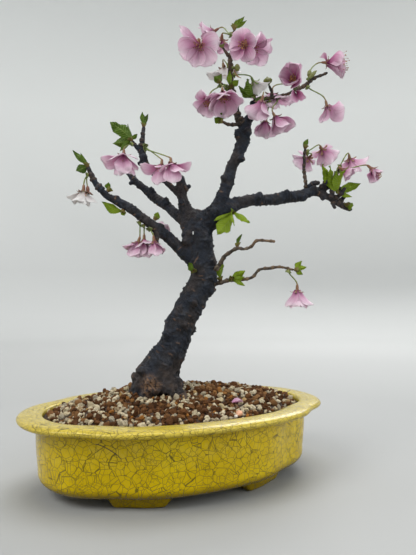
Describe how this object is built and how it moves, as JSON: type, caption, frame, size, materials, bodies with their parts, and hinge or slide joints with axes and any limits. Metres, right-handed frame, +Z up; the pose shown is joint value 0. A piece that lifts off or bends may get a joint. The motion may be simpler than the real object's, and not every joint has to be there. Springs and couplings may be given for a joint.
{
  "type": "cherry blossom bonsai",
  "caption": "Flowering cherry bonsai with a leaning dark trunk, forked branches, pink blossoms and young leaves, planted in a low lobed oval pot with a flat lip and bracket feet.",
  "frame": {"origin": "under the middle of the whole bonsai's bounding box, at the undersides of the pot's feet", "axes": "+Z up; X along the pot's long side; the pot's front looks towards -Y, and the tree's display side is turned 25.4 degrees from it, towards -X"},
  "size_m": [0.3032, 0.18, 0.3988],
  "materials": {
    "glaze": "gloss",
    "soil": "matte",
    "bark": "matte",
    "pink_petal": "matte",
    "white_petal": "matte",
    "calyx": "satin",
    "stamen": "matte",
    "leaf": "satin",
    "bud": "satin",
    "drain_screen": "matte"
  },
  "bodies": {
    "root": {"pot": "glaze", "drain_screen_left": "drain_screen", "drain_screen_right": "drain_screen", "soil": "soil", "tree": "bark", "fallen_petal": "pink_petal", "blossom_crown_left": "pink_petal", "blossom_crown_arched": "pink_petal", "blossom_crown_turned": "pink_petal", "blossom_crown_middle": "pink_petal", "blossom_crown_right": "pink_petal", "blossom_crown_white": "white_petal", "blossom_nodding_left": "pink_petal", "blossom_nodding_open": "pink_petal", "blossom_under_crown_near": "pink_petal", "blossom_under_crown_far": "pink_petal", "blossom_under_crown_right": "pink_petal", "blossom_pale_behind": "pink_petal", "blossom_white_behind": "white_petal", "blossom_deep_cup": "pink_petal", "blossom_outer_side": "pink_petal", "blossom_outer_hanging": "pink_petal", "blossom_twig_back_left": "pink_petal", "blossom_twig_back_right": "pink_petal", "blossom_end_back": "pink_petal", "blossom_end_nodding": "pink_petal", "blossom_end_closing": "pink_petal", "blossom_lowest_hanging": "pink_petal", "blossom_white_hanging": "white_petal", "blossom_middle_large": "pink_petal", "blossom_middle_front": "pink_petal", "blossom_middle_right": "pink_petal", "blossom_left_under_1": "pink_petal", "blossom_left_under_2": "pink_petal", "blossom_left_under_3": "pink_petal", "blossom_left_behind": "pink_petal", "top_leaf_bud": "leaf", "crown_spur_leaves": "leaf", "crown_stem_leaves": "leaf", "crown_fork_leaves": "leaf", "side_twig_leaves": "leaf", "right_twig_bud": "leaf", "branch_end_leaves": "leaf", "branch_end_low_leaf": "leaf", "fork_leaves": "leaf", "trunk_side_leaf": "leaf", "lowest_twig_leaves": "leaf", "low_twig_bud": "leaf", "lowest_twig_end_leaves": "leaf", "trunk_bud": "leaf", "left_tip_leaves": "leaf", "left_branch_bud": "leaf", "left_branch_low_leaf": "leaf", "left_branch_high_leaf": "leaf", "middle_leaves": "leaf", "middle_twig_bud": "leaf", "crown_flower_bud": "bud", "outer_flower_bud": "bud", "outer_stem_bud": "bud"}
  },
  "joints": []
}
